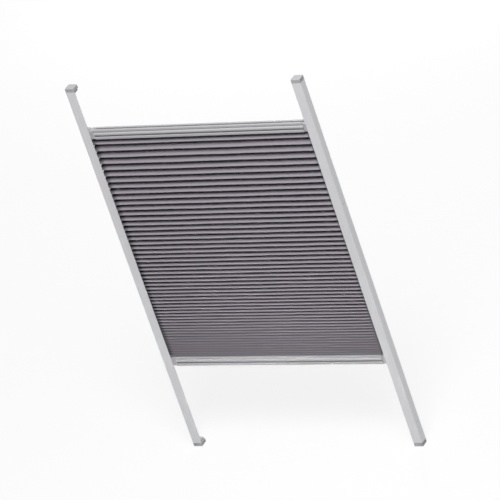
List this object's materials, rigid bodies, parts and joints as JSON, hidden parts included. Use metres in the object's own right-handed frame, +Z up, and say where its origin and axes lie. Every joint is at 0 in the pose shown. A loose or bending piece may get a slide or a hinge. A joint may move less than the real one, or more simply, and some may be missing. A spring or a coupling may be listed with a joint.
{
  "type": "pleated blind",
  "caption": "Pleated roof window blind: a grey folded cloth between two aluminium bars that slide in two aluminium side channels.",
  "frame": {"origin": "foot of the two channels, midway between them and midway through their depth", "axes": "+X to the right as seen from the room, +Y towards the window, +Z up along the channels"},
  "size_m": [0.646, 0.022, 1.034],
  "materials": {
    "satin_aluminium": "satin anodised",
    "grey_plastic": "fine matt",
    "strip_plastic": "matt",
    "cord": "braided",
    "pleated_cloth": "woven, matt"
  },
  "bodies": {
    "frame": {"left_channel": "satin_aluminium", "right_channel": "satin_aluminium", "top_left_end_cap": "grey_plastic", "top_right_end_cap": "grey_plastic", "bottom_left_end_cap": "grey_plastic", "bottom_right_end_cap": "grey_plastic", "top_bar_cord_falling_right": "cord", "top_bar_cord_falling_left": "cord", "bottom_bar_cord_falling_right": "cord", "bottom_bar_cord_falling_left": "cord", "cord_ferrules": "satin_aluminium"},
    "top_bar": {"top_bar": "satin_aluminium", "top_cloth_strip": "strip_plastic", "top_bar_left_slider": "grey_plastic", "top_bar_right_slider": "grey_plastic", "pleated_cloth": "pleated_cloth"},
    "bottom_bar": {"bottom_bar": "satin_aluminium", "bottom_cloth_strip": "strip_plastic", "bottom_bar_left_slider": "grey_plastic", "bottom_bar_right_slider": "grey_plastic"}
  },
  "joints": [
    {"name": "top_bar_slide", "type": "slide", "parent": "frame", "child": "top_bar", "axis": [0, 0, 1], "range_m": [-0.283, 0.104], "deforming": ["pleated_cloth", "top_bar_cord_falling_right", "top_bar_cord_falling_left"]},
    {"name": "bottom_bar_slide", "type": "slide", "parent": "frame", "child": "bottom_bar", "axis": [0, 0, 1], "range_m": [-0.223, 0.283], "deforming": ["pleated_cloth", "bottom_bar_cord_falling_right", "bottom_bar_cord_falling_left"]}
  ]
}
